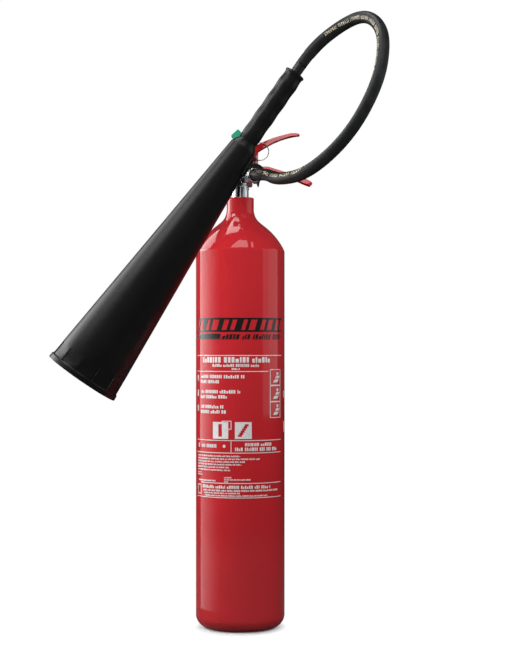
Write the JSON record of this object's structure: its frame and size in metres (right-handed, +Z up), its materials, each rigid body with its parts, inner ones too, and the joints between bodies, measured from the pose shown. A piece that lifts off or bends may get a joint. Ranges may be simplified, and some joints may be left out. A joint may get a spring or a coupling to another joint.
{
  "type": "portable carbon dioxide fire extinguisher",
  "caption": "Tall red gas bottle with a chromed squeeze-grip valve, red lever and carrying handle, safety pin with pull ring, black hose loop and a black cone-shaped discharge horn.",
  "frame": {"origin": "centre of the ring that the bottle stands on", "axes": "+Z up along the bottle, -Y towards the front with the hose, +X along the carrying handle"},
  "size_m": [0.4963, 0.3048, 0.9189],
  "materials": {
    "red_enamel": "gloss",
    "chrome": "polished",
    "zinc_steel": "satin",
    "brass": "machined",
    "aluminium_tube": "satin",
    "black_rubber": "matte",
    "hose_rubber": "satin, cloth-wrapped",
    "black_ferrule": "satin",
    "white_seal": "matte",
    "seal_plastic": "satin",
    "horn_black": "satin, fine grain",
    "grip_rubber": "satin",
    "clip_black": "satin",
    "green_plastic": "satin"
  },
  "bodies": {
    "extinguisher": {"cylinder_shell": "red_enamel", "neck_oring": "black_rubber", "valve_body": "chrome", "siphon_adapter": "brass", "siphon_tube": "aluminium_tube", "poppet_spring": "zinc_steel", "gland_nut": "chrome", "spindle_oring": "black_rubber", "outlet_washer": "white_seal", "hose_nut": "chrome", "hose_tail_valve": "zinc_steel", "hose_ferrule_valve": "chrome", "hose": "hose_rubber", "horn_clip": "clip_black", "burst_plug": "chrome", "burst_disc": "zinc_steel", "burst_washer": "white_seal", "carry_handle": "red_enamel", "handle_bolts": "zinc_steel", "lever_pivot_pin": "zinc_steel"},
    "lever": {"squeeze_lever": "red_enamel", "press_pin": "zinc_steel"},
    "plunger": {"spindle": "zinc_steel", "poppet": "brass", "seat_disc": "white_seal"},
    "pin": {"safety_pin": "zinc_steel", "tamper_seal": "seal_plastic"},
    "ring": {"pull_ring": "zinc_steel"},
    "horn_set": {"horn": "horn_black", "grip_sleeve": "grip_rubber", "discharge_tube": "zinc_steel", "snow_nozzle": "brass", "horn_washer": "zinc_steel", "horn_locknut": "zinc_steel", "lock_tab": "green_plastic", "hose_ferrule_horn": "black_ferrule", "hose_tail_horn": "zinc_steel"}
  },
  "joints": [
    {"name": "lever_squeeze", "type": "hinge", "parent": "extinguisher", "child": "lever", "pos_m": [-0.022, 0, 0.719], "axis": [0, 1, 0], "range_deg": [0, 10], "stiffness_Nm_per_rad": 4, "springref_deg": -11.46},
    {"name": "plunger_travel", "type": "slide", "parent": "extinguisher", "child": "plunger", "axis": [0, 0, -1], "range_m": [0, 0.004], "deforming": ["poppet_spring"]},
    {"name": "safety_pin_pull", "type": "slide", "parent": "extinguisher", "child": "pin", "axis": [0, -1, 0], "range_m": [0, 0.03]},
    {"name": "pull_ring_swing", "type": "hinge", "parent": "pin", "child": "ring", "pos_m": [0.022, -0.017, 0.7153], "axis": [0, 1, 0], "range_deg": [-60, 85]},
    {"name": "horn_swing", "type": "hinge", "parent": "extinguisher", "child": "horn_set", "pos_m": [0.205, -0.205, 0.855], "axis": [0, 1, 0], "range_deg": [0, 55], "deforming": ["hose"]}
  ],
  "couplings": [
    {"joint": "plunger_travel", "follows": "lever_squeeze", "m_per_rad": 0.022}
  ]
}
